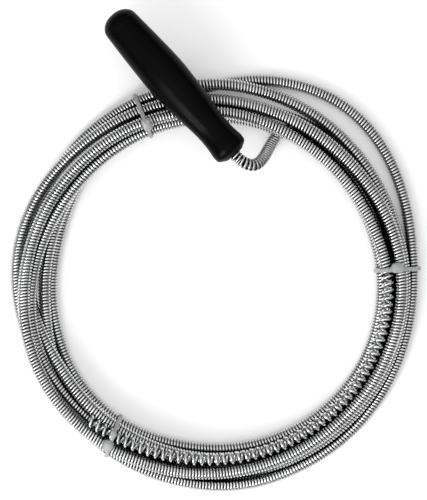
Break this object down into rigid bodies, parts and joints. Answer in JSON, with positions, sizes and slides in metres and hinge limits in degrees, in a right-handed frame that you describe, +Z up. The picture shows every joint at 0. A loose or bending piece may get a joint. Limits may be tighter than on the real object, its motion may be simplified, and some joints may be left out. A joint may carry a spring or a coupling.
{
  "type": "drain auger",
  "caption": "Hand drain auger: a coiled steel spring cable, tied for storage, with an open-wound auger head at one end and a plastic handle that turns on its cranked end.",
  "frame": {"origin": "the middle of the coil's eye, on the flat surface that the coil lies on", "axes": "+Z up, out of the flat side of the coil that carries the handle; +X to the right and +Y away, seen from above with the handle at the far left"},
  "size_m": [0.194, 0.2249, 0.0328],
  "materials": {
    "spring_steel": "bright zinc-plated spring wire, close wound",
    "collar_steel": "plain turned and crimped steel",
    "handle_plastic": "glossy black moulded plastic",
    "tie_nylon": "natural translucent nylon"
  },
  "bodies": {
    "cable": {"cable_coil": "spring_steel", "cable_crank": "spring_steel", "cable_shank": "spring_steel", "auger_head": "spring_steel", "stop_collar": "collar_steel", "thrust_washer": "collar_steel", "tie_beside_handle": "tie_nylon", "tie_beside_auger": "tie_nylon", "tie_over_auger": "tie_nylon"},
    "handle": {"handle_grip": "handle_plastic", "handle_end_cap": "handle_plastic"}
  },
  "joints": [
    {"name": "handle_spin", "type": "hinge", "parent": "cable", "child": "handle", "pos_m": [-0.0478, 0.1257, 0.0226], "axis": [0.6587, -0.7524, 0], "continuous": true}
  ]
}
